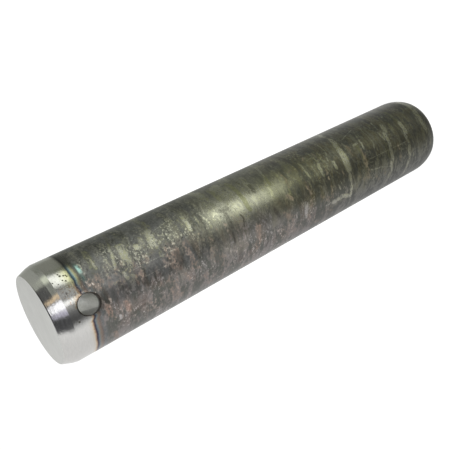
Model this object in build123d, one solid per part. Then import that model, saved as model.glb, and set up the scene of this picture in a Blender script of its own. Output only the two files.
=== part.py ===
from build123d import *
from math import radians, tan
import os

# Pivot pin: one steel bar, turned all over, with a lead at each end and one cross hole.
# Millimetres. The axis is Z. The plain end stands on Z = 0 and the drilled end is on top.
# The cross hole runs along Y.

# Shank
pin_diameter = 50.0
pin_length = 275.0

# Lead at the drilled end: two cones, the steeper one next to the face
tip_cone_length = 4.5
tip_cone_angle = 22.0
back_cone_length = 2.5
back_cone_angle = 14.0
head_edge_radius = 0.5

# Lead at the plain end: one long arc, tangent to the shank
foot_lead_length = 10.0
foot_lead_drop = 2.0
foot_edge_radius = 0.5

# Cross hole for a keeper pin, countersunk at both mouths
hole_diameter = 10.0
hole_from_face = 17.0
mouth_diameter = 11.6
mouth_half_angle = 45.0

# Radii and heights that follow
pin_radius = pin_diameter / 2
hole_radius = hole_diameter / 2
mouth_radius = mouth_diameter / 2
foot_face_radius = pin_radius - foot_lead_drop
cone_meeting_radius = pin_radius - back_cone_length * tan(radians(back_cone_angle))
head_face_radius = cone_meeting_radius - tip_cone_length * tan(radians(tip_cone_angle))
cone_meeting_height = pin_length - tip_cone_length
shank_top = cone_meeting_height - back_cone_length
hole_height = pin_length - hole_from_face
mouth_depth = (mouth_radius - hole_radius) / tan(radians(mouth_half_angle))


def half_section():
    # Right half of the pin's section, with both of its end edges broken
    foot_corner = (foot_face_radius, 0)
    shank_foot = (pin_radius, foot_lead_length)
    head_corner = (head_face_radius, pin_length)
    with BuildSketch(Plane.XZ) as section:
        with BuildLine():
            TangentArc(shank_foot, foot_corner, tangent=(0, -1))
            Polyline(
                shank_foot,
                (pin_radius, shank_top),
                (cone_meeting_radius, cone_meeting_height),
                head_corner,
                (0, pin_length),
                (0, 0),
                foot_corner,
            )
        make_face()
        for corner, radius in ((foot_corner, foot_edge_radius), (head_corner, head_edge_radius)):
            fillet(section.vertices().sort_by_distance(Vector(*corner)).first, radius)
    return section.sketch


def cross_hole():
    # Drill and two countersinks in one cutter, turned about the hole's own axis.
    # Each cone opens to mouth_radius on the crest of the shank and runs on past it.
    overrun = mouth_depth + hole_radius
    reach = pin_radius + overrun
    wall_end = pin_radius - mouth_depth
    outer_radius = mouth_radius + overrun * tan(radians(mouth_half_angle))
    axis_plane = Plane(origin=(0, 0, hole_height), x_dir=(0, 0, 1), z_dir=(1, 0, 0))
    with BuildSketch(axis_plane) as cutter:
        with BuildLine():
            Polyline(
                (0, -reach),
                (outer_radius, -reach),
                (hole_radius, -wall_end),
                (hole_radius, wall_end),
                (outer_radius, reach),
                (0, reach),
                close=True,
            )
        make_face()
    return revolve(cutter.sketch, Axis((0, 0, hole_height), (0, 1, 0)))


def pivot_pin():
    bar = revolve(half_section(), Axis.Z)
    pin = bar - cross_hole()
    return pin


os.makedirs("parts", exist_ok=True)
part = pivot_pin()
export_step(part, "parts/pivot_pin.step")
print("pin", pin_diameter, "x", pin_length, "mm, volume", round(part.volume), "mm3")
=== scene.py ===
import math
import random
import bpy
import numpy as np
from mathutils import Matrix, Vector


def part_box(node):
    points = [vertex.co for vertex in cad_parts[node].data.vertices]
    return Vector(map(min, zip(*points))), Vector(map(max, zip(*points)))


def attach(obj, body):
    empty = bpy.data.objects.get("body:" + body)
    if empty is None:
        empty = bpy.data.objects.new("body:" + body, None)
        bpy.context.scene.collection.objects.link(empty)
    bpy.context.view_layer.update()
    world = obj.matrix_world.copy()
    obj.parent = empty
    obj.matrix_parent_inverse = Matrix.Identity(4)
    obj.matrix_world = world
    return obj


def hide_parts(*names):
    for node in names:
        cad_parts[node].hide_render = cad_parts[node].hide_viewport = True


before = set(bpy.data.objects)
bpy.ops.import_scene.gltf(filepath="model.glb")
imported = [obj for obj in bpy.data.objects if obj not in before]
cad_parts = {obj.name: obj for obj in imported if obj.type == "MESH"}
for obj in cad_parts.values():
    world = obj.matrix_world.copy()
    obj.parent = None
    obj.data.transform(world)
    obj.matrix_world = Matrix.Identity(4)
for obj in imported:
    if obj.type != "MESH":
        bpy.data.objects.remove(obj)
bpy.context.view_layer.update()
lowCorner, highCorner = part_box("pivot_pin")
pinLength = highCorner.z
pinRadius = (highCorner.x - lowCorner.x) / 2
mm = 0.001
hair = 1e-6  # metres; heights closer than this count as one

# The pin's own sizes, in metres and degrees, as in its drawing
pinShape = dict(
    sides=240,
    tipCone=(4.5 * mm, 22),
    backCone=(2.5 * mm, 14),
    headEdge=0.5 * mm,
    footLead=10 * mm,
    footDrop=2 * mm,
    footEdge=0.5 * mm,
    footSlope=22.6,
    footRings=14,
    edgeSteps=5,
    shankCuts=(17, 19),
    holeRadius=5 * mm,
    holeFromFace=17 * mm,
    mouthRadius=5.8 * mm,
    drillClearance=2 * mm,
    holeSides=96,
    smoothAngle=28,
)
holeHeight = pinLength - pinShape["holeFromFace"]
shankTop = pinLength - pinShape["tipCone"][0] - pinShape["backCone"][0]
arcPerDegree = math.radians(pinRadius / mm)  # millimetres round the shank
frontTurn = 7.85  # degrees round from the hole's centre line to the side that faces the camera


# Modelling helpers
def letGo():
    if bpy.context.object and bpy.context.object.mode == "EDIT":
        bpy.ops.object.mode_set(mode="OBJECT")
    bpy.ops.object.select_all(action="DESELECT")


def readAll(parts, key, width=3, kind=float):
    # One row for each vertex, edge or face
    values = np.empty(len(parts) * width, kind)
    parts.foreach_get(key, values)
    return values.reshape(-1, width)


def pickEdges(piece, rule):
    # rule takes the two ends of every edge as arrays and says which edges to take
    bpy.ops.object.mode_set(mode="OBJECT")
    mesh = piece.data
    for part in (mesh.vertices, mesh.edges, mesh.polygons):
        part.foreach_set("select", np.zeros(len(part), bool))
    ends = readAll(mesh.vertices, "co")[readAll(mesh.edges, "vertices", 2, int)]
    mesh.edges.foreach_set("select", rule(ends[:, 0], ends[:, 1]))
    bpy.ops.object.mode_set(mode="EDIT")
    bpy.ops.mesh.select_mode(type="EDGE")


def atHeight(height):
    return lambda a, b: (abs(a[:, 2] - height) < hair) & (abs(b[:, 2] - height) < hair)


def upright(low, high):
    def rule(a, b):
        inside = (np.minimum(a[:, 2], b[:, 2]) > low - hair) & (np.maximum(a[:, 2], b[:, 2]) < high + hair)
        return inside & (abs(a[:, 2] - b[:, 2]) > 10 * hair)
    return rule


def growRing(move, scale=(1, 1, 1), centre=(0, 0, 0)):
    bpy.ops.mesh.extrude_region_move(TRANSFORM_OT_translate={"value": move})
    bpy.ops.transform.resize(value=scale, center_override=centre)


def turnedBar():
    # A filled circle at the foot is drawn up the outline, ring by ring
    shape = pinShape
    tipLength, tipSlope = shape["tipCone"]
    backLength, backSlope = shape["backCone"]
    leadRadius = (shape["footLead"] ** 2 + shape["footDrop"] ** 2) / (2 * shape["footDrop"])
    outline = []
    for ring in range(shape["footRings"] + 1):
        height = shape["footLead"] * ring / shape["footRings"]
        inset = leadRadius - math.sqrt(leadRadius ** 2 - (shape["footLead"] - height) ** 2)
        outline.append((height, pinRadius - inset))
    meeting = pinRadius - backLength * math.tan(math.radians(backSlope))
    headRadius = meeting - tipLength * math.tan(math.radians(tipSlope))
    outline += [(shankTop, pinRadius), (pinLength - tipLength, meeting), (pinLength, headRadius)]

    letGo()
    bpy.ops.mesh.primitive_circle_add(
        vertices=shape["sides"], radius=outline[0][1], fill_type="NGON", location=(0, 0, 0))
    bar = bpy.context.object
    bar.name = "pin_body"
    bpy.ops.object.mode_set(mode="EDIT")
    bpy.ops.mesh.select_mode(type="FACE")
    bpy.ops.mesh.select_all(action="SELECT")
    for (height, radius), (nextHeight, nextRadius) in zip(outline, outline[1:]):
        grow = nextRadius / radius
        growRing((0, 0, nextHeight - height), (grow, grow, 1), (0, 0, nextHeight))
    bpy.ops.mesh.select_all(action="SELECT")
    bpy.ops.mesh.normals_make_consistent(inside=False)

    # Break both end edges, keep the lines between the cones crisp
    for height, edge, slope in (
            (0, shape["footEdge"], shape["footSlope"]), (pinLength, shape["headEdge"], tipSlope)):
        pickEdges(bar, atHeight(height))
        back = edge * math.tan(math.radians((90 - slope) / 2))
        bpy.ops.mesh.bevel(offset=back, segments=shape["edgeSteps"], profile=0.5, affect="EDGES")
    for height in (shankTop, pinLength - tipLength):
        pickEdges(bar, atHeight(height))
        bpy.ops.mesh.mark_sharp()

    # Close rings along the shank, so that colour can be laid on them
    for cuts in shape["shankCuts"]:
        pickEdges(bar, upright(shape["footLead"], shankTop))
        bpy.ops.mesh.subdivide(number_cuts=cuts)
    bpy.ops.object.mode_set(mode="OBJECT")
    return bar


def drillCrossHole(bar):
    # A drill with a cone at each end, both cones at 45 degrees
    shape = pinShape
    bevel = shape["mouthRadius"] - shape["holeRadius"]
    coneLength = bevel + shape["drillClearance"]
    wallEnd = pinRadius - bevel
    reach = wallEnd + coneLength
    outer = shape["holeRadius"] + coneLength
    wider = outer / shape["holeRadius"]
    letGo()
    bpy.ops.mesh.primitive_circle_add(
        vertices=shape["holeSides"], radius=outer, fill_type="NGON",
        location=(0, -reach, holeHeight), rotation=(math.radians(90), 0, 0))
    drill = bpy.context.object
    bpy.ops.object.transform_apply(location=True, rotation=True, scale=True)
    bpy.ops.object.mode_set(mode="EDIT")
    bpy.ops.mesh.select_mode(type="FACE")
    bpy.ops.mesh.select_all(action="SELECT")
    growRing((0, coneLength, 0), (1 / wider, 1, 1 / wider), (0, -wallEnd, holeHeight))
    growRing((0, 2 * wallEnd, 0))
    growRing((0, coneLength, 0), (wider, 1, wider), (0, reach, holeHeight))
    bpy.ops.mesh.select_all(action="SELECT")
    bpy.ops.mesh.normals_make_consistent(inside=False)
    bpy.ops.object.mode_set(mode="OBJECT")

    letGo()
    bar.select_set(True)
    bpy.context.view_layer.objects.active = bar
    cut = bar.modifiers.new("crossHole", "BOOLEAN")
    cut.operation = "DIFFERENCE"
    cut.solver = "EXACT"
    cut.object = drill
    bpy.ops.object.modifier_apply(modifier=cut.name)
    bpy.data.objects.remove(drill)
    bpy.ops.object.shade_smooth_by_angle(angle=math.radians(shape["smoothAngle"]), keep_sharp_edges=True)


# Shader helpers
class Value:
    # One output socket, so that maths on it is written as maths
    def __init__(self, board, socket):
        self.board = board
        self.socket = socket

    def __add__(self, other):
        return self.board.maths("ADD", self, other)

    __radd__ = __add__

    def __sub__(self, other):
        return self.board.maths("SUBTRACT", self, other)

    def __rsub__(self, other):
        return self.board.maths("SUBTRACT", other, self)

    def __mul__(self, other):
        return self.board.maths("MULTIPLY", self, other)

    __rmul__ = __mul__

    def __truediv__(self, other):
        return self.board.maths("DIVIDE", self, other)

    def rise(self, low, high):
        # None up to low, full from high
        return self.board.node("ShaderNodeMapRange", {"interpolation_type": "SMOOTHSTEP"},
                               {"Value": self, "From Min": low, "From Max": high})

    def fall(self, low, high):
        # Full up to low, none from high
        return 1 - self.rise(low, high)

    def near(self, middle, inner, outer):
        # Full within inner of the middle, none beyond outer
        return self.board.maths("ABSOLUTE", self - middle).fall(inner, outer)


class Board:
    # One node tree that nodes are added to
    def __init__(self, tree):
        self.tree = tree
        self.tree.nodes.clear()

    def node(self, kind, settings=None, sockets=None, out=0):
        made = self.tree.nodes.new(kind)
        for name, value in (settings or {}).items():
            if name == "stops":
                ramp = made.color_ramp.elements
                while len(ramp) < len(value):
                    ramp.new(0.5)
                for stop, (place, colour) in zip(ramp, value):
                    stop.position = place
                    stop.color = (*colour, 1)
            else:
                setattr(made, name, value)
        for name, value in (sockets or {}).items():
            self.feed(made.inputs[name], value)
        return Value(self, made.outputs[out])

    def feed(self, socket, value):
        if isinstance(value, Value):
            self.tree.links.new(value.socket, socket)
        elif isinstance(value, tuple) and len(value) == 3 and socket.type == "RGBA":
            socket.default_value = (*value, 1)
        else:
            socket.default_value = value

    def maths(self, operation, a, b=0.0):
        return self.node("ShaderNodeMath", {"operation": operation}, {0: a, 1: b})

    def vector(self, operation, a, b=(0, 0, 0)):
        return self.node("ShaderNodeVectorMath", {"operation": operation}, {0: a, 1: b})

    def scaled(self, a, scale):
        return self.node("ShaderNodeVectorMath", {"operation": "SCALE"}, {0: a, "Scale": scale})

    def place(self, x=0.0, y=0.0, z=0.0):
        return self.node("ShaderNodeCombineXYZ", None, {"X": x, "Y": y, "Z": z})

    def distance(self, x, y):
        return self.node("ShaderNodeVectorMath", {"operation": "LENGTH"}, {0: self.place(x, y)}, 1)

    def parts(self, vector):
        axes = self.tree.nodes.new("ShaderNodeSeparateXYZ")
        self.feed(axes.inputs[0], vector)
        return [Value(self, end) for end in axes.outputs]

    def ray(self, kind):
        return Value(self, self.tree.nodes.new("ShaderNodeLightPath").outputs[kind])

    def mix(self, amount, a, b):
        return self.node("ShaderNodeMix", {"data_type": "RGBA"}, {0: amount, 6: a, 7: b}, 2)

    def blend(self, amount, a, b):
        return self.node("ShaderNodeMix", {"data_type": "FLOAT"}, {0: amount, 2: a, 3: b})

    def ramp(self, value, stops):
        return self.node("ShaderNodeValToRGB", {"stops": stops}, {"Fac": value})

    def grain(self, place, size, detail=4.0, rough=0.6, warp=0.0):
        # Fractal noise whose largest features are about size across, in the units of place
        return self.node("ShaderNodeTexNoise", None, {
            "Vector": place, "Scale": 1.0 / size, "Detail": detail, "Roughness": rough, "Distortion": warp})

    def painted(self, name):
        return self.node("ShaderNodeAttribute", {"attribute_name": name}, None, 2)

    def bump(self, relief):
        # relief is in millimetres
        return self.node("ShaderNodeBump", None, {"Height": relief, "Distance": mm, "Strength": 1.0})

    def shader(self, kind, **sockets):
        made = self.tree.nodes.new(kind)
        for name, value in sockets.items():
            self.feed(made.inputs[name.replace("_", " ")], value)
        return made

    def surface(self, last):
        kind = "ShaderNodeOutputWorld" if last.type == "BACKGROUND" else "ShaderNodeOutputMaterial"
        end = self.tree.nodes.new(kind)
        self.tree.links.new(last.outputs[0], end.inputs["Surface"])

    def steel(self, **sockets):
        self.surface(self.shader("ShaderNodeBsdfPrincipled", **sockets))


def finish(name):
    made = bpy.data.materials.new(name)
    made.use_nodes = True
    return made, Board(made.node_tree)


# Marks on the shank, listed one by one: each runs from one place to another, a place being
# millimetres down from the drilled face and degrees round from the hole's centre line.
# Then its width along the pin in millimetres and its strength.
marks = dict(
    bare=[
        # thin slanted streaks
        (26.9, 30, 27.1, 45, 1.5, 0.8), (27.2, 45, 28.3, 66, 0.7, 0.4), (35.3, 19, 37.5, 36, 1.6, 0.9),
        (37.5, 36, 39.5, 50, 1.3, 0.8), (39.5, 50, 43, 80, 1.0, 0.6), (32, 55, 34, 74, 0.6, 0.5),
        (131, 17, 133, 32, 1.1, 0.8), (133, 32, 136, 50, 1.2, 0.8), (136, 50, 138.5, 65, 1.6, 0.9),
        (138.5, 65, 140.5, 84, 1.6, 0.7), (179, 21, 181, 33, 1.1, 0.8), (181, 33, 183.5, 53, 1.1, 0.8),
        (228.5, 32, 230.5, 48, 1.4, 0.8), (231, 52, 232.2, 58, 0.9, 0.6),
        (198.3, 41, 199.3, 58, 1.0, 0.6),
        # patches near the drilled end
        (24.8, 27, 26.5, 30, 2.6, 0.4), (42.6, 29, 43.4, 38, 5.6, 0.8), (45.5, 30, 45.7, 41, 0.9, 1.0),
        (39.5, 22, 41.5, 30, 2.6, 0.6), (47, 22, 66, 25, 5.0, 0.34), (52, 34, 52.6, 40, 3.0, 0.5),
        (69, 28, 74, 36, 3.0, 0.34), (41.5, 15, 43.5, 26, 4.5, 0.65), (38.8, 9, 38.8, -6, 3.0, 0.95),
        (41.5, 4, 41.8, -11, 3.0, 0.85), (36.5, -13, 36.3, -21, 1.8, 0.45),
        (49.7, 30, 49.8, 33.5, 2.2, 1.0), (47.4, 38.6, 47.8, 39.4, 0.9, 0.8),
        (52.6, 38, 53.8, 39, 1.3, 0.7), (55.2, 26, 55.8, 40, 2.2, 0.7), (58, 28, 58.3, 42, 4.6, 0.8),
        (60.3, 30, 60.4, 44, 1.0, 1.0), (58.2, 12, 58.5, 27, 3.4, 0.6), (60, 48, 60.6, 84, 3.6, 0.6),
        (62.4, 33.5, 62.8, 32.5, 1.2, 0.8), (63.8, 31, 64.2, 30, 1.2, 0.8),
        (65.5, 28.5, 66, 27.5, 1.3, 0.8), (66.4, 25, 66.8, 24, 1.0, 0.7), (62.5, 25, 62.9, 23, 0.9, 0.5),
        (78.4, 22, 78.8, 42, 2.2, 1.0), (75.7, 27, 76, 40, 1.5, 0.8), (80.6, 52, 79, 76, 2.0, 0.55),
        (66.9, 13, 67.1, -8, 0.9, 0.6), (57.6, -7, 55.6, -20, 1.1, 0.6), (61.3, -4, 60.5, -13, 1.0, 0.5),
        (61, -22, 61.4, -26, 1.8, 0.6), (65, -9, 65.3, -17, 1.0, 0.6), (65.4, -25, 67.2, -31, 0.9, 0.7),
        (65.4, -33, 67.3, -39, 0.9, 0.7), (76.3, -15, 78.4, -27, 1.9, 0.8), (79.4, -8, 78, -16, 1.4, 0.6),
        (75, -24, 77, -31, 1.3, 0.6), (76.5, -33, 77, -42, 1.5, 0.6), (70.5, -26, 72.5, -30, 1.1, 0.5),
        (69, -32, 71, -37, 1.0, 0.5), (42.4, -33, 42.8, -36, 1.6, 0.6), (45.6, -16, 47.6, -19, 0.9, 0.5),
        (23.5, -27, 25, -46, 1.4, 0.4), (28.4, -29.2, 28.8, -30.8, 1.4, 1.6),
        # the long smooth stretch in the middle
        (84, 25, 85.4, 41, 1.6, 0.6), (89.5, 14, 89.6, 31, 2.0, 0.8), (94, 16, 94, 38, 5.0, 0.55),
        (96.5, 38, 97, 84, 5.0, 0.6), (108.5, 4, 108.5, 60, 8.6, 0.62), (104, 12, 108, 14, 5.0, 0.5),
        (113, 0, 113, -16, 5.0, 0.4), (104, -2, 104.4, -14, 11.0, 0.42), (121, -2, 121.4, -15, 9.0, 0.42),
        (97, -4, 97.6, -18, 1.4, 0.6), (105.6, -12, 107, -26, 1.6, 0.6), (112.4, -14, 113, -30, 1.6, 0.5),
        (121.5, 6, 121.5, 52, 9.0, 0.5), (134, 12, 134, 30, 6.0, 0.4), (128, 28, 127.6, 37, 1.5, 0.6),
        (128.6, 33, 131.6, 27, 1.3, 0.6), (131, 16, 130.7, 15.4, 1.0, 1.0),
        (136.5, 20, 136.8, 31, 1.1, 0.7), (132, 60, 134, 61, 2.0, 0.5), (96, -10, 98, -20, 3.0, 0.45),
        (109, -12, 110, -25, 3.0, 0.4), (121, -24, 124.5, -29, 1.5, 0.6),
        (102.3, -33, 103.6, -38, 1.0, 0.6), (87, -14, 88, -20, 1.4, 0.5), (117, 62, 118, 82, 6.0, 0.5),
        (142.5, -31, 148.2, -33.5, 0.9, 0.7), (84, -42, 85, -60, 3.0, 0.3),
        # towards the plain end
        (147, 17, 149.8, 18.5, 3.0, 0.5), (152, 0, 152.6, 44, 4.6, 0.4), (151, -16, 149.8, -30, 3.0, 0.8),
        (160.4, 14, 160.4, 37, 2.0, 0.6), (161, 31, 165, 29, 1.6, 0.5), (166.6, 26, 166.4, 12, 1.8, 0.6),
        (161.5, 13, 166, 11.5, 2.2, 0.5), (163.4, 34, 164, 40, 3.0, 0.4), (162.5, 5, 166.5, 4, 1.4, 0.6),
        (170.3, 10, 170.8, 24, 3.0, 0.7), (171.8, 24, 172.2, 46, 2.2, 0.6),
        (166.5, 38, 171.5, 37, 1.1, 0.7), (168.5, 9, 168.4, -4, 1.5, 0.6), (169, -8, 170, -20, 1.2, 0.5),
        (181.5, 11, 181.8, 18, 2.6, 0.8), (178.6, 8, 182.5, 1, 1.3, 0.6), (188.4, -37, 190, 0, 2.6, 0.75),
        (190, 0, 191.4, 30, 4.2, 1.0), (191.4, 30, 193, 52, 3.4, 0.8), (193, 52, 195, 80, 3.2, 0.6),
        (166, -32, 173, -33, 1.6, 0.7), (173, -33, 181, -32, 2.6, 0.8), (181, -32, 188, -37, 2.2, 0.8),
        (171, -37, 181, -39, 2.4, 0.45), (202.2, 25.5, 206.3, 27, 1.4, 0.8),
        (208.5, 15, 210, 38, 1.8, 0.85), (208, 5, 210, 4.6, 0.6, 0.8), (208, 0, 210.6, -0.4, 0.7, 0.8),
        (208, -5, 210.4, -5.4, 0.6, 0.8), (207.6, -10, 210, -10, 0.6, 0.7),
        (206.8, -15, 209, -17, 1.0, 0.8), (201.5, 6, 203.6, 1, 1.3, 0.6), (176, -4, 176.4, -16, 1.0, 0.8),
        (178.6, -13, 179.6, -20, 1.0, 0.8), (180.4, -8, 180.8, -14, 0.9, 0.8),
        (196, -8, 196, -24, 1.1, 0.4), (147, 76, 148.6, 62, 1.4, 0.5), (216, 0, 217.5, 15, 1.6, 0.7),
        (217.5, 15, 218.4, 62, 1.3, 0.6), (220, 20, 222.4, 14, 1.2, 0.6), (226.8, 27, 228, 13, 2.0, 0.7),
        (231.4, 21, 233.6, 34, 3.2, 0.7), (231, 20, 229.6, 0, 3.2, 0.85),
        (229.6, 0, 227.6, -22, 3.8, 0.75), (227.6, -22, 224.5, -50, 4.0, 0.6),
        (233, 70, 233.8, 78, 2.0, 0.5), (233.5, 18, 238.5, 17, 1.0, 0.6), (233.5, 12, 239, 11, 1.0, 0.6),
        (234, 8, 239.5, 8, 0.8, 0.6), (247.4, 11, 247.4, 25, 3.4, 0.9), (247.6, 25, 247.8, 46, 2.4, 0.5),
        (247, 11, 246, -20, 3.0, 0.7), (246, -20, 243.5, -56, 3.6, 0.6), (252, -1, 253.2, 4, 1.3, 0.7),
        (251, -6, 251.8, -10, 1.2, 0.6), (250, -19, 250.4, -29, 1.6, 0.6),
        (266.6, 30, 266.2, 4, 4.6, 0.75), (268, 64, 267.6, 28, 4.2, 0.7),
        (266.2, 4, 263.5, -26, 1.6, 0.6), (269, 4, 269, -50, 2.6, 0.45), (268.5, 34, 269, 70, 3.0, 0.5),
        (240.5, 49, 241.5, 52, 1.8, 0.7),
    ],
    dark=[
        (73, 24, 74.5, 8, 5.0, 0.36), (105, 20, 105.4, 34, 5.0, 0.36), (45, 20, 46, 6, 3.0, 0.3),
        (28.5, 3, 28.8, -10, 3.0, 0.4), (33, -1, 36.4, -1.5, 1.4, 0.6), (37.6, -17, 41.4, -16, 1.0, 0.8),
        (38, -22, 42, -24, 3.5, 0.35), (32.5, -34.5, 42, -31, 1.2, 0.7), (65.4, 5, 65.6, -5, 2.8, 0.9),
        (51.6, -6, 51.8, 3, 1.1, 0.5), (75.5, 7, 75.8, -9, 1.6, 0.6), (81, 25.5, 81, 31, 2.2, 0.7),
        (79.8, 20, 80, 24, 1.6, 0.7), (64.2, -10, 64.4, -58, 0.8, 0.5), (98.6, 26, 103.6, 25.5, 2.4, 0.6),
        (100.5, 4, 100.4, 19, 3.4, 0.7), (99.6, -3, 98, -17, 1.6, 0.8), (107, 11, 108.4, 6, 0.9, 1.0),
        (108.4, 6, 107.4, -3, 0.9, 1.0), (106.6, -7, 107.6, -8, 0.9, 0.6), (86.6, 23, 87.4, 33, 1.6, 0.8),
        (84, 36, 88.4, 37.5, 1.2, 0.6), (89, 38, 91, 50, 2.6, 0.5), (91, 56, 92.5, 66, 2.4, 0.45),
        (82, 34, 82.6, 50, 2.0, 0.5), (110.5, 52, 111.5, 60, 2.4, 0.4), (121, 30, 120, 76, 2.8, 0.45),
        (123.5, 30, 124.2, 39, 3.0, 0.6), (132, 39, 132.6, 50, 2.6, 0.5), (138, 44, 137.4, 60, 2.2, 0.45),
        (146.6, 25, 146.8, 38, 1.5, 0.7), (121.2, -8, 121.6, -12, 1.0, 0.8),
        (120, -14, 120.2, -20, 1.1, 0.7), (120.8, -21, 122.8, -26, 1.1, 0.8),
        (121.6, -29, 122, -33, 0.9, 0.7), (120.6, -36, 120, -46, 1.3, 0.7),
        (116.6, -42, 116, -52, 1.0, 0.5), (101.6, -29, 101, -42, 3.0, 0.6),
        (108.2, -26, 107.4, -46, 2.2, 0.5), (129, -2, 130.4, -11, 3.2, 0.55),
        (134, -3, 139.5, -8, 2.6, 0.4), (146.4, -6, 146, -28, 2.6, 0.5), (85.4, -20, 86, -28, 2.6, 0.55),
        (148.6, 53, 149, 63, 2.6, 0.4), (157.2, 2, 157.2, 56, 2.4, 0.5), (147.4, 25, 147.6, 37, 1.0, 0.7),
        (163.6, 19, 163.8, 25, 1.8, 0.7), (161, -2, 164, 1, 1.8, 0.5), (177, -4, 177.6, -20, 2.6, 0.5),
        (166.5, 33.4, 171, 32.6, 0.7, 0.7), (186, -6, 186.6, 14, 2.2, 0.4),
        (193.4, -20, 194, 10, 2.4, 0.45), (208.6, -3, 211, -3, 0.7, 0.8),
        (208.4, -7.6, 211, -7.8, 0.7, 0.8), (208.4, 3.6, 210.2, 3.4, 0.7, 0.7),
        (241.8, 2, 242.4, 34, 2.8, 0.5), (258.6, -20, 259.8, 34, 5.0, 0.4),
        (252.8, -14, 253.6, 26, 3.4, 0.35), (264.6, -9, 264.4, -14, 1.2, 0.7),
        (264.5, -19, 264.4, -24, 1.2, 0.7), (264.4, -30, 264.4, -35, 1.4, 0.6),
        (272, -10, 272, 36, 2.6, 0.8), (241, -8, 245.5, -8.6, 1.0, 0.5), (235, 12.5, 236, 12.5, 1.2, 0.8),
        (227.6, 9.6, 228.6, 9.4, 1.2, 0.7), (151.6, -12.4, 153, -11.4, 0.9, 0.8),
    ],
    rust=[
        (24.1, -12, 24.6, -19.5, 2.6, 0.9), (20, 17, 22, 20, 2.5, 0.6), (24, 10, 26, 22, 3.0, 0.6),
        (33, 5, 36, 18, 3.0, 0.45), (28, 6, 30, 14, 2.0, 0.5), (45, 2, 50, 16, 4.0, 0.4),
        (58, 0, 64, 14, 5.0, 0.35), (25, -20, 25.8, -28, 1.3, 0.8), (24.5, 13, 24.8, 20, 1.6, 0.5),
        (26, -3, 26.2, -9, 0.9, 0.5), (65.4, 8, 66.6, 16, 1.6, 0.7), (72.4, 10, 72, -11, 4.0, 0.6),
        (41.2, 10.5, 43, 9, 1.8, 0.5), (38.4, 20, 39, 26, 1.2, 0.5), (52, -16, 52.4, -20, 1.6, 0.5),
        (57.6, -32, 61, -36, 2.2, 0.35), (71, -18, 74.6, -20, 1.6, 0.5), (67, -20, 68.4, -29, 1.8, 0.45),
        (62.6, 8, 64, 3, 2.0, 0.6), (97.3, 8.6, 97.8, 8.2, 0.9, 1.0), (96.4, 2, 96.8, 11, 1.4, 0.6),
        (90.4, 7, 91, 11, 1.6, 0.6), (115.4, -11, 113.4, -37, 3.6, 0.6), (106.6, -21, 107, -31, 1.0, 0.6),
        (135, -14, 140.5, -22, 3.4, 0.5), (140, 7, 143, 1, 2.4, 0.5), (144.6, 16, 145.6, 32, 1.8, 0.5),
        (156.6, 12, 154.6, -19, 2.8, 0.5), (173.6, 11, 173, -15, 2.4, 0.45),
        (151.6, 31, 152.6, 33.6, 1.8, 0.6), (164.6, 40, 165.4, 45, 1.6, 0.5),
        (174.4, 27, 174.8, 43, 1.4, 0.45), (183.4, 6, 186.4, -6, 0.9, 0.5),
        (197.4, 17, 198, 29, 1.8, 0.8), (205.6, 13, 205, -22, 2.6, 0.6),
        (205.4, -22, 207.4, -28, 1.6, 0.5), (150.6, -31, 154, -36, 2.2, 0.45),
        (163, -17, 172, -26, 3.0, 0.35), (235.8, -2, 236.6, -26, 2.2, 0.5),
        (219.6, -22, 221, -32, 2.6, 0.35), (212, -28, 214.6, -37, 2.4, 0.4),
        (33, -30, 36, -50, 4.0, 0.25), (45, -38, 60, -44, 7.0, 0.25), (33, -19, 33.5, -24, 3.4, 0.9),
        (84, -14, 90, -34, 6.0, 0.3), (68, -44, 110, -52, 9.0, 0.2), (130, -36, 170, -46, 9.0, 0.25),
        (62.5, -6, 66, 6, 4.0, 0.6), (25, -44, 26, -66, 2.4, 0.6), (22.4, 14, 26, 16, 2.4, 0.6),
        (40, 16, 42, 6, 3.0, 0.25), (57, -20, 62, -46, 5.0, 0.4), (174, -10, 172, -28, 3.0, 0.3),
        (195, -12, 203, -28, 5.0, 0.25),
    ],
    olive=[
        (26, 34, 28, 52, 4.0, 0.5), (47, 40, 46, 60, 4.0, 0.4), (62, 38, 80, 47, 3.0, 0.35),
        (115.3, 14, 115, 60, 2.8, 1.0), (103.6, 42, 104.4, 62, 4.0, 0.55), (123, 40, 124.6, 52, 3.0, 0.5),
        (134.6, 28, 135, 44, 2.0, 0.8), (130, 20, 130.6, 28, 1.8, 0.5), (143, 8, 146, 30, 3.4, 0.5),
        (141.6, 28, 142, 50, 2.0, 0.4), (153, 10, 153, 52, 4.6, 0.4), (204.4, 4, 204.6, 26, 2.4, 0.7),
        (175.2, 25, 175.6, 48, 1.8, 0.5), (168, 20, 168.6, 34, 1.6, 0.4), (187.6, 8, 188.4, 40, 1.6, 0.4),
        (247, 26, 247.8, 54, 3.4, 0.7), (225.6, -10, 226.4, 10, 3.4, 0.55),
        (239.4, 22, 240, 38, 2.4, 0.5), (243, 8, 243.4, 24, 1.4, 0.6), (213, 8, 213, 40, 3.0, 0.35),
        (251.6, 16, 252.4, 30, 2.4, 0.4), (266.4, 44, 267, 60, 2.0, 0.5), (196, 6, 196.4, 30, 1.8, 0.35),
    ],
)
# Millimetres: how soft a mark's edge is and how far it wavers, by waves of these sizes
brush = dict(soft=0.8, squash=0.8, waver=0.07, waves=12, waveSize=(0.7, 2.6), seed=17)
# The side that the photo hides gets marks of the same kinds, spread evenly
hiddenSide = dict(
    seed=41,
    kinds=dict(bare=90, dark=50, rust=26, olive=14),
    start=24,
    span=248,
    turn=(88, 282),
    reach=(5, 26),
    lean=(0.02, 0.08),
    width=(0.8, 3.8),
    strength=(0.4, 0.9),
)


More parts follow.
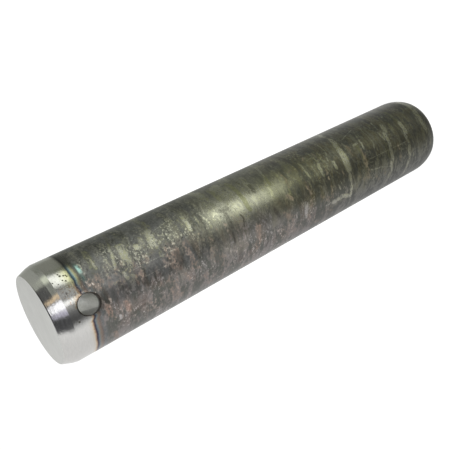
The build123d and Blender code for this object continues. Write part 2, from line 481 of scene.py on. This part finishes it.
def addHiddenMarks():
    side = hiddenSide
    draw = random.Random(side["seed"])
    for kind, count in side["kinds"].items():
        for number in range(count):
            down = side["start"] + (number + draw.random()) / count * side["span"]
            turn = draw.uniform(*side["turn"])
            reach = draw.uniform(*side["reach"])
            lean = reach * draw.uniform(*side["lean"])
            width = draw.uniform(*side["width"])
            strength = draw.uniform(*side["strength"])
            marks[kind].append((down, turn, down + lean, turn + reach, width, strength))


def paintMarks(bar):
    mesh = bar.data
    places = readAll(mesh.vertices, "co") / mm
    down = pinLength / mm - places[:, 2]
    turn = np.degrees(np.arctan2(places[:, 0], -places[:, 1]))
    draw = random.Random(brush["seed"])
    wander = np.zeros((2, len(down)))
    for wave in range(brush["waves"]):
        size = draw.uniform(*brush["waveSize"])
        way = [draw.gauss(0, 1) / size for axis in range(3)]
        for shift in wander:
            shift += np.sin(places @ way + draw.uniform(0, math.tau)) * size
    down = down + wander[0] * brush["waver"]
    turn = turn + wander[1] * brush["waver"] / arcPerDegree
    for kind, rows in marks.items():
        paint = np.zeros(len(down))
        for down1, turn1, down2, turn2, width, strength in rows:
            run = np.array([down2 - down1, (turn2 - turn1) * arcPerDegree])
            shortWay = (turn - (turn1 + turn2) / 2 + 180) % 360 - 180
            px = down - (down1 + down2) / 2
            py = shortWay * arcPerDegree
            share = np.clip((px * run[0] + py * run[1]) / max(run @ run, hair), -0.5, 0.5)
            gap = np.hypot(px - share * run[0], (py - share * run[1]) * brush["squash"])
            edge = np.clip((width / 2 + brush["soft"] - gap) / (brush["soft"] * 2), 0, 1)
            paint = np.maximum(paint, strength * edge * edge * (3 - 2 * edge))
        layer = mesh.attributes.new(kind + "Paint", "FLOAT", "POINT")
        layer.data.foreach_set("value", paint)


# Finishes: first the colours
shades = dict(
    deep=(0.102, 0.105, 0.094),
    mid=(0.205, 0.205, 0.184),
    warm=(0.196, 0.174, 0.170),
    green=(0.180, 0.182, 0.125),
    brown=(0.170, 0.122, 0.090),
    cool=(0.185, 0.190, 0.188),
    mottle=(0.150, 0.135, 0.080),
    olive=(0.185, 0.190, 0.105),
    bare=(0.47, 0.472, 0.395),
    dulled=(0.28, 0.28, 0.16),
    flakeWithPaintedReflection=(0.41, 0.395, 0.38),
    crumb=(0.35, 0.245, 0.19),
    black=(0.050, 0.048, 0.043),
    rust=(0.25, 0.145, 0.105),
    oldRust=(0.19, 0.145, 0.08),
    greenish=(0.99, 1.0, 0.83),
    copper=(0.46, 0.26, 0.15),
    silver=(0.84, 0.78, 0.70),
    teal=(0.50, 0.80, 0.74),
    pit=(0.06, 0.058, 0.03),
    soot=(0.10, 0.09, 0.08),
    amber=(0.50, 0.36, 0.20),
    rim=(0.06, 0.062, 0.07),
)
# Noise in bands round the pin, which lean like a slack screw thread. Size is in millimetres,
# across below 1 draws the noise out round the pin, and press squeezes it along the pin.
bandLean = 0.15
noises = dict(
    broad=dict(size=17, press=2.2, detail=4, warp=0.4),
    swarm=dict(size=11, across=0.7, press=1.6, warp=0.3, shift=31.0),
    mottle=dict(size=7, press=2.2, detail=6, rough=0.65, warp=0.8),
    patch=dict(size=4.5, across=0.6, press=1.5, detail=5, rough=0.62, warp=0.6),
    rings=dict(size=3.4, across=0.1, detail=4),
    ripple=dict(size=3.0, press=2.2, detail=2, rough=0.5),
    fleck=dict(size=1.7, press=1.4, rough=0.7),
    grit=dict(size=1.1, press=1.2, rough=0.75),
    waver=dict(size=4.5, lean=0.0),
    quiver=dict(size=0.9, lean=0.0),
    lathe=dict(size=0.8, across=0.2, lean=0.0, detail=4, rough=0.8),
    feed=dict(size=0.8, across=0.35, lean=0.0, rough=0.7),
)
# How each kind of mark crumbles at its edges: its cut, how raggedly, and the share that stays a veil
crumbling = dict(
    bare=((0.42, 0.54), 1.0, 0.30),
    olive=((0.25, 0.75), 0.6, 0.30),
    rust=((0.28, 0.56), 1.3, 0.15),
    dark=((0.40, 0.64), 1.3, 0.30),
)
veil = dict(spread=0.12, levels=(0.05, 1.0))
scaleLook = dict(
    # Sides painted with tints of the light: warm where the pale surroundings are mirrored, green where the
    # greenish lamp falls
    paintedWarmSide=(-0.64, -0.77),
    frontSide=(0.45, -0.9),
    darkening={"From Min": 110.0, "From Max": 215.0, "To Min": 1.1, "To Max": 0.60},
    roughness=0.36,
    metallic=0.85,
)
turnedRoughness = 0.13
# Heat tint across the edge of the turned band: millimetres past the line, then the colour there
tintLook = dict(
    line=16.1,
    roughness=0.26,
    low=[
        (-6, 0.66, 0.66, 0.64), (-3.2, 0.66, 0.66, 0.635), (-2.2, 0.66, 0.65, 0.61),
        (-1.5, 0.655, 0.61, 0.52), (-0.9, 0.54, 0.41, 0.28), (-0.4, 0.20, 0.14, 0.12),
        (0, 0.045, 0.042, 0.062), (0.35, 0.10, 0.12, 0.155), (0.8, 0.20, 0.235, 0.25),
        (1.3, 0.245, 0.235, 0.21), (1.9, 0.25, 0.20, 0.165), (2.7, 0.19, 0.165, 0.15),
        (3.6, 0.165, 0.18, 0.185), (5.2, 0.165, 0.178, 0.178), (6.6, 0.16, 0.155, 0.14),
    ],
    high=[
        (-6, 0.66, 0.66, 0.63), (-4, 0.65, 0.65, 0.56), (-2.5, 0.63, 0.63, 0.46),
        (-1.5, 0.56, 0.56, 0.35), (-0.8, 0.36, 0.36, 0.22), (-0.3, 0.08, 0.11, 0.11),
        (0, 0.035, 0.055, 0.085), (0.4, 0.10, 0.17, 0.20), (0.9, 0.29, 0.36, 0.32),
        (1.4, 0.36, 0.36, 0.23), (1.9, 0.29, 0.28, 0.17), (2.4, 0.16, 0.15, 0.12),
        (3.3, 0.11, 0.13, 0.12), (4.4, 0.13, 0.22, 0.20), (5.4, 0.15, 0.17, 0.12), (6.6, 0.15, 0.14, 0.11),
    ],
    plain=[
        (-6, 0.66, 0.66, 0.63), (-3.2, 0.66, 0.66, 0.62), (-1.5, 0.60, 0.60, 0.56),
        (-0.6, 0.35, 0.35, 0.32), (0, 0.07, 0.07, 0.07), (0.8, 0.13, 0.13, 0.125),
        (2, 0.17, 0.17, 0.16), (6.6, 0.16, 0.16, 0.145),
    ],
)
# The shank falls away a little towards the cones, worn there by polishing
rolledEdge = dict(ends=12.0, width=5.0, slope=0.06)
# Down, round, radius
pits = [(11.5, 42.8, 0.35), (11.9, 40.2, 0.5), (13.3, 38.8, 0.4), (14.2, 38.2, 0.35), (7.5, 36, 0.3),
        (9.3, 32, 0.25), (11.8, 34.2, 0.35), (12.9, 32.2, 0.4), (10, -12, 0.45), (14.4, 36.4, 0.35)]
scratchEdge = dict(inner=0.4, outer=2, tail=(-1.0, 0.5))
scratches = [  # down, round, down, round, half width, strength
    (40, 10.6, 66, 10.4, 0.14, 0.5), (38, -1.6, 61, -1.4, 0.13, 0.4), (62, 41, 78, 48, 0.16, 0.5),
    (198, 41.5, 213, 52, 0.18, 0.7), (213, 52, 236, 54.5, 0.14, 0.4), (208, -0.6, 245, -2.4, 0.16, 0.6),
    (207, -16, 217, -19, 0.22, 0.7), (217, -19, 226, -26, 0.18, 0.6), (237, -10.5, 246, -11, 0.14, 0.4),
]


class Surface:
    # Places on the pin in millimetres: x, y and z, down from the drilled face, and arc round the shank
    def __init__(self, board):
        self.board = board
        self.here = board.scaled(board.node("ShaderNodeTexCoord", None, None, 3), 1 / mm)
        self.x, self.y, self.z = board.parts(self.here)
        self.down = pinLength / mm - self.z
        self.arc = board.maths("ARCTAN2", self.x, self.y * -1) * (pinRadius / mm)
        self.fromHole = board.distance(self.down - pinShape["holeFromFace"] / mm, self.arc)


def bandNoise(at, size, across=1.0, press=1.0, lean=bandLean, detail=3, rough=0.6, warp=0.0, shift=0.0):
    x, y = at.x * across, at.y * across
    z = at.z + shift + x * (lean * across)
    return at.board.grain(at.board.place(x, y, z * press), size, detail, rough, warp)


def stirred(noise, **shares):
    # Noises added up by their shares
    total = 0.0
    for kind, share in shares.items():
        total = noise[kind] * share + total
    return total


def uneven(noise, **swings):
    # The same, but swinging about nothing
    total = 0.0
    for kind, swing in swings.items():
        total = (noise[kind] - 0.5) * swing + total
    return total


def lay(under, mask, shade, weight):
    # One more layer, of a named shade or of a colour made before; weight is its cover where it is full
    over = shades[shade] if isinstance(shade, str) else shade
    return mask.board.mix(mask * weight, under, over)


def laidMarks(board, ragged, kind):
    # Crumbling where the mark is strong, a soft veil where it is weak
    cut, roughly, share = crumbling[kind]
    paint = board.painted(kind + "Paint")
    crumbs = (paint + (paint + veil["spread"]) * ragged * roughly).rise(*cut)
    return crumbs * (1 - share) + paint.rise(*veil["levels"]) * share


def nearLine(board, at, mark):
    down1, turn1, down2, turn2, halfWidth, strength = mark
    run = (down2 - down1, (turn2 - turn1) * arcPerDegree)
    length = math.hypot(*run)
    ux, uy = run[0] / length, run[1] / length
    px = at.down - down1
    py = at.arc - turn1 * arcPerDegree
    off = board.maths("ABSOLUTE", px * uy - py * ux)
    ends = board.maths("ABSOLUTE", px * ux + py * uy - length / 2) - length / 2
    line = off.fall(halfWidth * scratchEdge["inner"], halfWidth * scratchEdge["outer"])
    return line * ends.fall(*scratchEdge["tail"]) * strength


def layScale(board, at, noise):
    # The scale itself, then what wore, rusted or burnt on it, and painted light, as sums of masks.
    # The pair in a rise or fall says where it begins and ends: millimetres down or round, or levels of a
    # noise.
    look = scaleLook
    middle = at.down.rise(84, 94) * at.down.fall(128, 156)
    # Painted highlight: the strip where the strip light is mirrored, lighter in colour, its top slanting
    # down the pin as the reflection does
    paintedHighlightTop = (at.arc + at.down.rise(100, 128) * 5).fall(15, 22)
    paintedHighlight = middle * at.arc.rise(1, 6) * paintedHighlightTop
    even = middle * (at.arc + at.down.rise(92, 104) * 5).rise(-7, -3)
    foot = at.down.rise(150, 195)
    lower = at.arc.fall(-7, 0)
    ragged = uneven(noise, patch=2.6, fleck=4.6, grit=2.0) * (1 - even * 0.4)

    # Greys with painted tints of the light: warm on the lower front side, mirroring the pale surroundings,
    # and green on the upper front side, from the greenish lamp
    facing = (at.x * look["paintedWarmSide"][0] + at.y * look["paintedWarmSide"][1]) / (pinRadius / mm)
    warm = (facing + uneven(noise, broad=1.2) - at.down.rise(75, 95) * 0.2).rise(0.32, 0.78)
    warm = warm * at.down.fall(150, 205)
    grey = lay(shades["mid"], warm, "warm", 0.75)
    front = at.x * look["frontSide"][0] + at.y * look["frontSide"][1] + uneven(noise, broad=30)
    front = front.rise(12, 25)
    grey = lay(grey, front * at.down.rise(45, 90), "green", 0.6)
    contrast = 1 + lower * 0.4 + at.down.rise(150, 220) * 0.8
    tone = (uneven(noise, broad=0.40, rings=0.50, patch=0.80, fleck=0.35) * contrast).rise(-0.12, 0.13)
    tone = tone + (tone * -1 + 0.85) * even * 0.5
    colour = board.mix(tone, shades["deep"], grey)

    # Clouds of other colours, and the painted highlight strip in a lighter colour
    ruddy = stirred(noise, swarm=0.6, patch=0.4).rise(0.50, 0.60) * at.arc.fall(0, 6)
    colour = lay(colour, ruddy * at.down.fall(150, 200), "brown", 0.22)
    cool = stirred(noise, swarm=0.6, broad=0.4).fall(0.46, 0.53) * at.down.fall(70, 95)
    colour = lay(colour, cool * at.arc.rise(-8, -3), "cool", 0.5)
    colour = lay(colour, paintedHighlight, "bare", 0.42)
    mottle = noise["mottle"].rise(0.44, 0.60) * front * at.down.rise(130, 165)
    colour = lay(colour, mottle, "mottle", 0.6)
    colour = lay(colour, laidMarks(board, ragged, "olive"), "olive", 0.75)

    # Bare metal in patches and loose crumbs, with a dark fringe round the patches
    crumbs = uneven(noise, fleck=1.6, grit=1.6, patch=0.8).rise(0.13, 0.27)
    loose = crumbs * (noise["swarm"] + uneven(noise, rings=0.6)).rise(0.49, 0.57)
    loose = loose * (0.60 + warm * 0.22) * (1 - even) * (1 - at.down.rise(150, 190) * 0.7)
    patches = laidMarks(board, ragged, "bare")
    edges = stirred(noise, grit=0.4, fleck=0.6)
    fringe = patches * (1 - patches) * 4 * edges.rise(0.44, 0.52) * (1 - even * 0.5)
    bare = board.maths("MAXIMUM", patches, loose)
    bareTone = lay(shades["bare"], edges.rise(0.48, 0.56), "dulled", 0.8)
    # Bare flakes on the lower side turn pinkish grey: a painted reflection of the pale surroundings
    bareTone = board.mix(at.arc.fall(-5, 5) * (1 - foot * 0.75), bareTone, shades["flakeWithPaintedReflection"])
    rusty = stirred(noise, broad=0.6, patch=0.4).rise(0.50, 0.58)
    rusty = rusty * at.arc.rise(-22, -14) * at.arc.fall(5, 10) * at.down.fall(85, 120)
    bareTone = lay(bareTone, rusty, "crumb", 0.75)
    bareTone = board.scaled(bareTone, 1 + foot * 0.25)
    colour = board.mix(bare * (0.84 - paintedHighlight * 0.34 + foot * 0.14), colour, bareTone)
    colour = lay(colour, fringe, "black", 0.75)

    # Rust and burnt spots
    rust = laidMarks(board, ragged, "rust")
    rustTone = (board.painted("rustPaint") + uneven(noise, grit=2.0)).rise(0.55, 0.95)
    rustTone = lay(board.mix(rustTone, shades["brown"], shades["rust"]), foot, "oldRust", 0.75)
    colour = lay(colour, rust, rustTone, 0.52)
    colour = lay(colour, laidMarks(board, ragged, "dark"), "black", 0.72)

    # Pale and dark specks above the hole's line, then the scratches
    gathered = 0.15 + (noise["swarm"] + uneven(noise, patch=0.4)).rise(0.42, 0.52) * 0.85
    speckled = at.arc.rise(2, 8) * at.arc.fall(18, 23) * at.down.fall(92, 104) * gathered
    fine = stirred(noise, grit=0.65, fleck=0.35) + uneven(noise, swarm=0.5)
    paleSpecks = speckled * fine.rise(0.57, 0.61)
    darkSpecks = speckled * fine.fall(0.39, 0.43)
    colour = lay(colour, paleSpecks, "bare", 0.6)
    colour = lay(colour, darkSpecks, "black", 0.65)
    lines = 0.0
    for mark in scratches:
        lines = nearLine(board, at, mark) + lines
    colour = lay(colour, lines * noise["fleck"].rise(0.35, 0.6), "bare", 0.85)

    # Darker towards the foot, grainy, and greener past the middle, the upper band's green a painted tint of
    # the strip light
    darker = board.node("ShaderNodeMapRange", None, {"Value": at.down, **look["darkening"]})
    coarse = 1.1 - lower * 0.6
    colour = board.scaled(colour, darker * (1 + uneven(noise, grit=0.9, fleck=coarse)))
    greenish = at.down.rise(60, 95) * 0.35 + at.down.rise(120, 134) * 0.65 - at.down.rise(160, 190) * 0.5
    # Painted tint of the greenish strip light: the upper band slants as its reflection does; near the foot a
    # plain green cast is added on the lower side
    slanted = at.arc + at.down.rise(110, 160) * 9
    greenish = greenish * slanted.rise(-3, 5) * at.arc.fall(16, 24)
    greenish = greenish + foot * at.arc.fall(-1, 5) * at.arc.rise(-22, -12) * 0.4
    colour = board.vector("MULTIPLY", colour, board.mix(greenish, (1.0, 1.0, 1.0), shades["greenish"]))
    return colour, paintedHighlight, bare, rust


def pastHeatLine(board, at, noise):
    # Millimetres past the wavering line where the turned band ends. It bends round the hole, and
    # the tint also reaches back to a ring close round it.
    underHole = at.arc.fall(-1, 1)
    pull = at.arc.near(-5.9, 0.2, 2.2) * underHole * 1.1
    push = at.arc.near(9.2, 0.8, 4.0) * 0.4
    past = at.down - tintLook["line"] - pull + push + uneven(noise, waver=1.0, quiver=1.0)
    ring = (5.8 - at.fromHole) * (1.7 - at.arc.rise(2, 5) * 0.9)
    ring = ring - underHole * 3 + uneven(noise, fleck=2.6, grit=2.0) - 0.75
    return board.maths("MAXIMUM", past, board.maths("MINIMUM", ring, -0.6))


def layTint(board, at, noise, colour, past):
    first, last = tintLook["low"][0][0], tintLook["low"][-1][0]
    across = (past - first) / (last - first)
    low, high, plain = (board.ramp(across, [
        ((place - first) / (last - first), shade) for place, *shade in tintLook[side]])
        for side in ("low", "high", "plain"))
    tint = board.mix(at.arc.rise(8, 13), low, high)
    tint = board.mix(at.arc.rise(18, 24), tint, plain)
    tinted = (past + uneven(noise, patch=6, fleck=3)).fall(2.2, 6.5)
    colour = board.mix(tinted, colour, tint)

    # Bright sparks by the hole and a blue-green glint above it
    sparks = noise["grit"].rise(0.56, 0.64) * at.arc.rise(1, 4) * at.fromHole.fall(7.5, 12)
    sparkTone = board.mix(noise["fleck"].rise(0.42, 0.56), shades["copper"], shades["silver"])
    colour = lay(colour, sparks, sparkTone, 0.75)
    teal = stirred(noise, fleck=0.6, grit=0.4).rise(0.40, 0.52)
    teal = teal * at.arc.near(16.6, 1.0, 3.2) * at.down.near(20.6, 0.3, 1.2)
    return lay(colour, teal, "teal", 0.8), tinted


def layTurned(board, at, noise, colour, turned):
    # Pits, specks, a dark line at the face's edge painted as a reflection of the dark overhead, and the
    # tool's fine streaks, painted stronger where the lamp is mirrored
    spots = 0.0
    for pitDown, pitTurn, pitRadius in pits:
        away = board.distance(at.down - pitDown, at.arc - pitTurn * arcPerDegree)
        spots = away.fall(pitRadius * 0.7, pitRadius * 1.4) + spots
    spots = board.maths("MINIMUM", spots, 1.0)
    colour = lay(colour, spots, "pit", 0.85)
    specks = stirred(noise, grit=0.8, fleck=0.2).rise(0.52, 0.57) * turned
    specks = specks * at.down.rise(7.5, 9.5) * at.arc.near(9.0, 2.0, 4.0)
    speckTone = board.mix(noise["fleck"].rise(0.46, 0.54), shades["soot"], shades["amber"])
    colour = lay(colour, specks, speckTone, 0.6)
    # Painted reflection: a dark line along the face's edge, on the side that faces the camera
    colour = lay(colour, at.down.fall(0.1, 0.55) * at.arc.rise(-8, -5) * at.arc.fall(15, 22), "rim", 0.75)
    # The tool's streaks are real marks, painted stronger in colour where the lamp is mirrored: partly a
    # painted reflection
    streaks = 0.25 + at.arc.rise(-6, -3) * at.arc.fall(15, 20) * 0.5
    return board.scaled(colour, 1 + uneven(noise, lathe=1.0) * turned * streaks), spots


def pinSteel():
    made, board = finish("pinSteel")
    at = Surface(board)
    noise = {kind: bandNoise(at, **row) for kind, row in noises.items()}
    colour, paintedHighlight, bare, rust = layScale(board, at, noise)
    past = pastHeatLine(board, at, noise)
    turned = past.fall(-1.4, -0.2)
    colour, tinted = layTint(board, at, noise, colour, past)
    colour, spots = layTurned(board, at, noise, colour, turned)

    # Roughness, metal and relief follow the same masks
    rough = scaleLook["roughness"] - paintedHighlight * 0.10 - bare * 0.08 + rust * 0.2 + uneven(noise, fleck=0.12)
    rough = board.blend(tinted, rough, tintLook["roughness"])
    roughTurned = turnedRoughness + spots * 0.3 + uneven(noise, fleck=0.06)
    metal = board.blend(tinted, scaleLook["metallic"] + bare * 0.1 - rust * 0.35, 1.0)
    relief = (stirred(noise, grit=0.006, fleck=0.012, patch=0.014) + bare * 0.004) * (1 - turned)
    relief = relief + stirred(noise, feed=0.05, ripple=0.006) * turned
    rolled = board.maths("MINIMUM", rolledEdge["ends"] - at.down, rolledEdge["width"])
    rolled = board.maths("MAXIMUM", rolled, 0.0)
    relief = relief - rolled * rolled * (rolledEdge["slope"] / rolledEdge["width"] / 2)
    board.steel(Base_Color=colour, Metallic=metal, Roughness=board.blend(turned, rough, roughTurned),
                IOR=1.7, Anisotropic=0.5, Anisotropic_Rotation=0.25, Normal=board.bump(relief))
    return made


# The plain finishes: colours between which the grain goes, and the grain's sizes in millimetres
faceLook = dict(colours=((0.65, 0.655, 0.635), (0.72, 0.725, 0.705)), cut=(0.35, 0.65), along=0.12,
                streak=1.6, cloud=9, ring=0.5, depth=0.002)
mouthLook = dict(colours=((0.022, 0.020, 0.017), (0.050, 0.043, 0.034)), cut=(0.4, 0.7), cloud=1.6)
boreLook = dict(colours=((0.74, 0.745, 0.71), (0.93, 0.93, 0.90)), cut=(0.38, 0.62), along=0.12,
                streak=1.5, cloud=2.6, depth=0.02, rim=(22.2, 23.2))


def pinFace():
    made, board = finish("pinFace")
    look = faceLook
    at = Surface(board)
    streaks = board.grain(board.place(at.x * look["along"], at.y), look["streak"])
    cloud = board.grain(at.here, look["cloud"], 4, 0.5)
    colour = board.mix((streaks * 0.5 + cloud * 0.5).rise(*look["cut"]), *look["colours"])
    relief = board.grain(board.place(board.distance(at.x, at.y)), look["ring"], 2) * look["depth"]
    board.steel(Base_Color=colour, Metallic=0.95, Roughness=0.36 + streaks * 0.06, Normal=board.bump(relief))
    return made


def pinMouth():
    made, board = finish("pinMouth")
    look = mouthLook
    cloud = board.grain(Surface(board).here, look["cloud"])
    colour = board.mix(cloud.rise(*look["cut"]), *look["colours"])
    board.steel(Base_Color=colour, Metallic=0.4, Roughness=0.5)
    return made


def pinBore():
    # Drawn along the hole, with painted shadow on two slanting sides and at the rims
    made, board = finish("pinBore")
    look = boreLook
    at = Surface(board)
    roundHole = board.maths("ARCTAN2", at.x, at.z - holeHeight / mm) * (pinShape["holeRadius"] / mm)
    streaks = board.grain(board.place(roundHole, at.y * look["along"]), look["streak"])
    cloud = board.grain(at.here, look["cloud"])
    colour = board.mix((streaks * 0.6 + cloud * 0.4).rise(*look["cut"]), *look["colours"])
    # Painted shadow: a wedge cast by the mouth's edge on one slanting side, a softer one on the other
    shade = (-5.0 - at.y * 0.077 - at.x).rise(-0.2, 0.3) * 0.45
    shade = shade + (at.x + 1.9 + at.y * 0.15).rise(-0.5, 2.8) * 0.32
    # Painted shadow near both rims of the bore
    rim = board.maths("ABSOLUTE", at.y).rise(*look["rim"])
    colour = board.scaled(colour, (1 - shade) * (1 - rim * 0.85))
    board.steel(Base_Color=colour, Metallic=0.9, Roughness=0.3, Normal=board.bump(streaks * look["depth"]))
    return made


# Which faces get which finish: how level the end face is, how far from the hole's line its own
# faces reach, how little they face outwards, and how near the axis the bore's centres lie
faceRules = dict(level=0.999, top=0.01 * mm, margin=0.1 * mm, outwards=0.97, boreMiddle=1 * mm)


def dressPin(bar):
    mesh = bar.data
    rules = faceRules
    for made in (pinSteel(), pinFace(), pinMouth(), pinBore()):
        mesh.materials.append(made)
    face, mouth, bore = 1, 2, 3
    centres, normals = (readAll(mesh.polygons, key) for key in ("center", "normal"))
    fromHole = np.hypot(centres[:, 0], centres[:, 2] - holeHeight)
    fromAxis = np.maximum(np.hypot(centres[:, 0], centres[:, 1]), hair * mm)
    outwards = (centres[:, :2] * normals[:, :2]).sum(1) / fromAxis
    slot = np.zeros(len(mesh.polygons), int)
    slot[(normals[:, 2] > rules["level"]) & (centres[:, 2] > pinLength - rules["top"])] = face
    cut = (fromHole < pinShape["mouthRadius"] + rules["margin"]) & (outwards < rules["outwards"])
    slot[cut] = mouth
    slot[cut & (abs(centres[:, 1]) < rules["boreMiddle"])] = bore
    mesh.polygons.foreach_set("material_index", slot)
    print("faces by finish", np.bincount(slot))


pin = turnedBar()
drillCrossHole(pin)
addHiddenMarks()
paintMarks(pin)
dressPin(pin)
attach(pin, "root")
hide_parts("pivot_pin")
pin.data.calc_loop_triangles()
print("pin modelled", len(pin.data.loop_triangles), "triangles")

# Floor: white to the camera, with a faint shadow
stageLook = dict(size=12.0, catch=0.42, glow=0.74, plain=0.8)


def layFloor():
    letGo()
    bpy.ops.mesh.primitive_plane_add(size=stageLook["size"], location=(0, 0, 0))
    floor = bpy.context.object
    floor.name = "floor"
    made, board = finish("paleFloor")
    catch = board.shader("ShaderNodeBsdfDiffuse", Color=(stageLook["catch"],) * 3)
    glow = board.shader("ShaderNodeEmission", Color=(1, 1, 1), Strength=stageLook["glow"])
    seen = board.tree.nodes.new("ShaderNodeAddShader")
    board.feed(seen.inputs[0], Value(board, catch.outputs[0]))
    board.feed(seen.inputs[1], Value(board, glow.outputs[0]))
    plain = board.shader("ShaderNodeBsdfDiffuse", Color=(stageLook["plain"],) * 3)
    choose = board.tree.nodes.new("ShaderNodeMixShader")
    board.feed(choose.inputs[0], board.ray("Is Camera Ray"))
    board.feed(choose.inputs[1], Value(board, plain.outputs[0]))
    board.feed(choose.inputs[2], Value(board, seen.outputs[0]))
    board.surface(choose)
    floor.data.materials.append(made)
    floor.visible_glossy = False


# Studio: what the metal mirrors, as bands and soft boxes placed by compass angle from the
# camera and by height, both in degrees
studio = dict(
    ambient=0.75,
    wrap=[  # going round from behind, by the right-hand side, to behind again
        (-180, 0.78, 0.78, 0.77), (-140, 0.83, 0.82, 0.82), (-100, 0.82, 0.81, 0.81),
        (-75, 0.86, 0.85, 0.85), (-58, 0.92, 0.91, 0.91), (-50, 0.72, 0.72, 0.72),
        (-43.5, 0.36, 0.36, 0.36), (-37, 0.13, 0.13, 0.13), (-31, 0.08, 0.08, 0.08),
        (-22, 0.13, 0.13, 0.13), (-14, 0.18, 0.18, 0.18), (45, 0.20, 0.20, 0.19), (86, 0.19, 0.20, 0.17),
        (107, 0.14, 0.15, 0.12), (131, 0.29, 0.30, 0.27), (155, 0.42, 0.43, 0.40), (180, 0.78, 0.78, 0.77),
    ],
    lowWrap=[  # the same lower down
        (-180, 0.80, 0.80, 0.79), (-141, 0.60, 0.60, 0.60), (-120, 0.68, 0.68, 0.68),
        (-100, 0.79, 0.79, 0.79), (-58, 0.76, 0.76, 0.76), (-50, 0.62, 0.62, 0.62),
        (-43.5, 0.45, 0.45, 0.45), (-37, 0.34, 0.34, 0.34), (-17, 0.27, 0.27, 0.27),
        (4, 0.20, 0.20, 0.20), (25, 0.13, 0.13, 0.125), (46, 0.18, 0.18, 0.165), (67, 0.31, 0.32, 0.29),
        (88, 0.42, 0.43, 0.39), (108, 0.50, 0.50, 0.47), (129, 1.05, 1.06, 1.02), (149, 1.05, 1.05, 1.02),
        (180, 0.80, 0.80, 0.79),
    ],
    fall=(25, 52),
    # Each laid over those before it: where, half its size, how soft its edge is, how far it leans
    # sideways for each degree of height, and its colour
    boxes=[
        ((-30, -33), (34, 9), 8, 0.0, (0.40, 0.39, 0.39)),
        ((-60, -30), (17, 9), 7, 0.0, (1.08, 1.06, 1.06)),
        ((14, -14), (23, 24), 7, 0.0, (0.42, 0.418, 0.41)),
        ((45, 14), (22, 7), 4, 0.0, (0.32, 0.33, 0.30)),
        ((112, -12), (24, 9), 6, 0.0, (0.25, 0.255, 0.225)),
        ((112, 19), (29, 16), 6, 0.0, (0.36, 0.37, 0.34)),
        ((76, 8), (10, 13), 5, 0.0, (0.80, 0.84, 0.70)),
        ((92, 32), (25, 10), 8, 0.0, (0.42, 0.43, 0.39)),
        ((62, -12), (15, 8), 7, 0.2, (1.46, 1.48, 1.40)),
        ((33, -31), (15, 9), 6, 1.9, (2.42, 2.46, 2.30)),
        ((-8, 22), (8, 17), 4, 0.0, (0.62, 0.60, 0.72)),
        ((6, -6), (5, 15), 3, 0.0, (1.45, 1.45, 1.45)),
        ((7.5, 22), (10, 17), 4, 0.0, (1.65, 1.64, 1.72)),
        ((28, 22), (5, 17), 3, 0.0, (0.95, 0.74, 0.50)),
        ((51, 34), (19, 11), 4, 0.0, (0.11, 0.11, 0.11)),
        ((-36, 26), (16, 19), 7, 0.0, (0.09, 0.09, 0.095)),
        ((16, 61), (62, 19), 4, 0.0, (0.03, 0.03, 0.03)),
    ],
)


def hangStudio():
    world = bpy.data.worlds.new("studio")
    bpy.context.scene.world = world
    world.use_nodes = True
    world.cycles.sampling_method = "NONE"
    board = Board(world.node_tree)
    x, y, z = board.parts(board.node("ShaderNodeTexCoord", None, None, 0))
    height = board.maths("ARCSINE", z) * math.degrees(1)
    compass = board.maths("ARCTAN2", x, y * -1) * math.degrees(1) - frontTurn
    compass = board.node("ShaderNodeMath", {"operation": "WRAP"}, {0: compass, 1: 180.0, 2: -180.0})
    level, low = (
        board.ramp(compass / 360 + 0.5, [((place + 180) / 360, colour) for place, *colour in studio[wrap]])
        for wrap in ("wrap", "lowWrap"))
    light = board.mix((height * -1).rise(*studio["fall"]), level, low)
    for (turn, high), (wide, tall), soft, lean, colour in studio["boxes"]:
        sideways = compass - turn - (height - high) * lean
        mask = sideways.near(0.0, wide - soft, wide + soft) * height.near(high, tall - soft, tall + soft)
        light = board.mix(mask, light, colour)
    light = board.mix(board.ray("Is Glossy Ray"), (studio["ambient"],) * 3, light)
    seen = board.maths("MAXIMUM", board.ray("Is Camera Ray"), board.ray("Is Transmission Ray"))
    light = board.mix(seen, light, (1, 1, 1))
    board.surface(board.shader("ShaderNodeBackground", Color=light, Strength=1.0))


def addLamp(name, place, size, power, colour):
    lamp = bpy.data.lights.new(name, "AREA")
    lamp.shape = "DISK"
    lamp.size = size
    lamp.energy = power
    lamp.color = colour
    holder = bpy.data.objects.new(name, lamp)
    bpy.context.scene.collection.objects.link(holder)
    holder.location = place
    towards = (lowCorner + highCorner) / 2 - holder.location
    holder.rotation_euler = towards.to_track_quat("-Z", "Y").to_euler()
    holder.visible_glossy = False


layFloor()
hangStudio()
addLamp("keyLamp", (0.55, -0.60, 0.95), 0.6, 6.0, (1.0, 1.0, 0.96))
addLamp("frontLamp", (-0.30, -0.95, 0.62), 0.3, 9.0, (1.0, 0.98, 0.96))

# Camera: over the drilled end, rolled so that the pin lies across the picture
view = dict(place=(0.03913, -0.28038, 0.33262), turn=(-37.165, 49.884, -126.900), lens=47.5, sensor=36)
lensData = bpy.data.cameras.new("camera")
lensData.lens = view["lens"]
lensData.sensor_width = view["sensor"]
camera = bpy.data.objects.new("camera", lensData)
camera.location = view["place"]
camera.rotation_euler = [math.radians(angle) for angle in view["turn"]]
bpy.context.scene.collection.objects.link(camera)
bpy.context.scene.camera = camera
bpy.context.scene.view_settings.view_transform = "Standard"
print("stage, studio and camera set")
